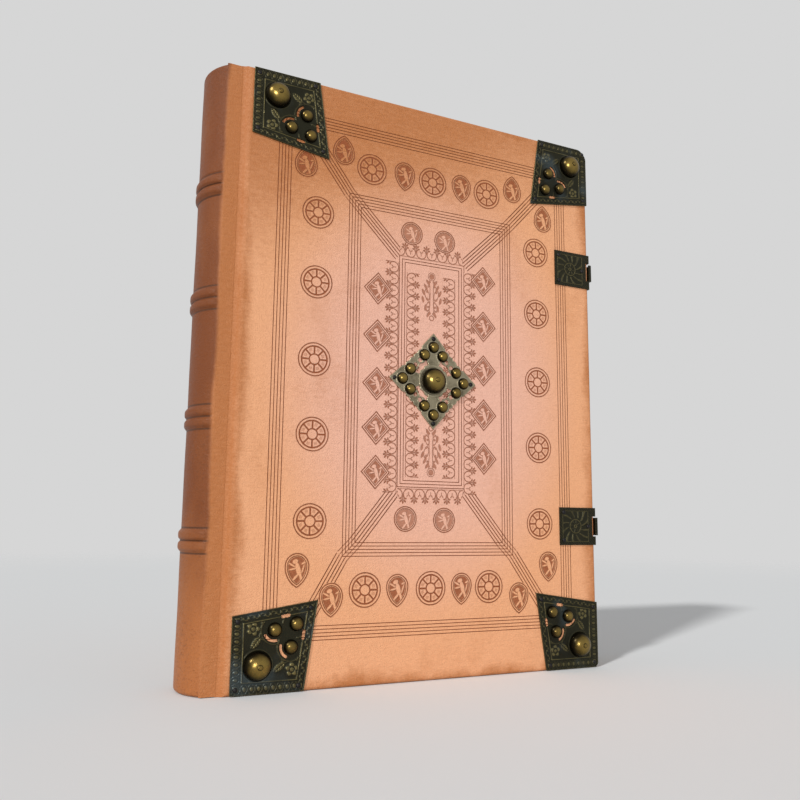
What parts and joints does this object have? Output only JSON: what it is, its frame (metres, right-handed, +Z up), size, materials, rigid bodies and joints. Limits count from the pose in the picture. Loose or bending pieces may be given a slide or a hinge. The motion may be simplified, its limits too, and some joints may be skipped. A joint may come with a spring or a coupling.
{
  "type": "leather-bound book",
  "caption": "Upright closed folio in tooled tan leather over boards, with raised spine bands, embossed brass corner plates with bosses, a pierced centre plate and hook clasps.",
  "frame": {"origin": "centre of the footprint, on the plane of the tail edges that the book stands on", "axes": "+Z up from tail to head; +X from the spine towards the fore-edge; the front cover faces -Y"},
  "size_m": [0.2904, 0.0612, 0.38],
  "materials": {
    "tan_leather": "fine-grained vegetable-tanned calf, semi-matt",
    "strap_leather": "thick tan strap leather, semi-matt",
    "board_wood": "planed hardwood, raw",
    "peg_wood": "split hardwood pegs, raw",
    "leaf_paper": "rag paper edges, matt",
    "lining_paper": "pasted lining paper, matt",
    "hemp_cord": "hemp cord, matt",
    "endband_thread": "linen thread, matt",
    "dark_bronze": "embossed sheet, dark patina",
    "pale_brass": "embossed sheet, worn grey-brass patina",
    "boss_brass": "domed sheet, rubbed antique brass",
    "nail_iron": "blackened iron"
  },
  "bodies": {
    "text_block": {"text_block": "leaf_paper", "spine_leather": "tan_leather", "sewing_band_1": "hemp_cord", "sewing_band_2": "hemp_cord", "sewing_band_3": "hemp_cord", "sewing_band_4": "hemp_cord", "head_endband": "endband_thread", "tail_endband": "endband_thread"},
    "front_cover": {"front_board": "board_wood", "front_leather": "tan_leather", "front_pastedown": "lining_paper", "front_thong_ends": "hemp_cord", "front_pegs": "peg_wood", "corner_plate_tail_spine": "dark_bronze", "corner_boss_tail_spine": "boss_brass", "corner_plate_tail_fore": "dark_bronze", "corner_boss_tail_fore": "boss_brass", "corner_plate_head_spine": "dark_bronze", "corner_boss_head_spine": "boss_brass", "corner_plate_head_fore": "dark_bronze", "corner_boss_head_fore": "boss_brass", "corner_boss_rivets": "boss_brass", "corner_nails": "nail_iron", "centre_plate": "pale_brass", "centre_boss": "boss_brass", "centre_boss_rivet": "boss_brass", "centre_nails": "nail_iron", "catch_plate_lower": "dark_bronze", "catch_plate_upper": "dark_bronze", "catch_nails": "nail_iron"},
    "back_cover": {"back_board": "board_wood", "back_leather": "tan_leather", "back_pastedown": "lining_paper", "back_thong_ends": "hemp_cord", "back_pegs": "peg_wood", "strap_anchor_lower": "strap_leather", "strap_anchor_upper": "strap_leather", "strap_nails": "nail_iron"},
    "lower_clasp": {"clasp_hook_lower": "dark_bronze", "clasp_strap_lower": "strap_leather", "clasp_rivets_lower": "nail_iron"},
    "upper_clasp": {"clasp_hook_upper": "dark_bronze", "clasp_strap_upper": "strap_leather", "clasp_rivets_upper": "nail_iron"}
  },
  "joints": [
    {"name": "front_cover_hinge", "type": "hinge", "parent": "text_block", "child": "front_cover", "pos_m": [-0.12893, -0.01985, 0.19], "axis": [0, 0, -1], "range_deg": [0, 165]},
    {"name": "back_cover_hinge", "type": "hinge", "parent": "text_block", "child": "back_cover", "pos_m": [-0.12893, 0.02555, 0.19], "axis": [0, 0, 1], "range_deg": [0, 165]},
    {"name": "lower_clasp_hinge", "type": "hinge", "parent": "back_cover", "child": "lower_clasp", "pos_m": [0.14158, 0.02815, 0.0962], "axis": [0, 0, 1], "range_deg": [0, 120]},
    {"name": "upper_clasp_hinge", "type": "hinge", "parent": "back_cover", "child": "upper_clasp", "pos_m": [0.14158, 0.02815, 0.2838], "axis": [0, 0, 1], "range_deg": [0, 120]}
  ]
}
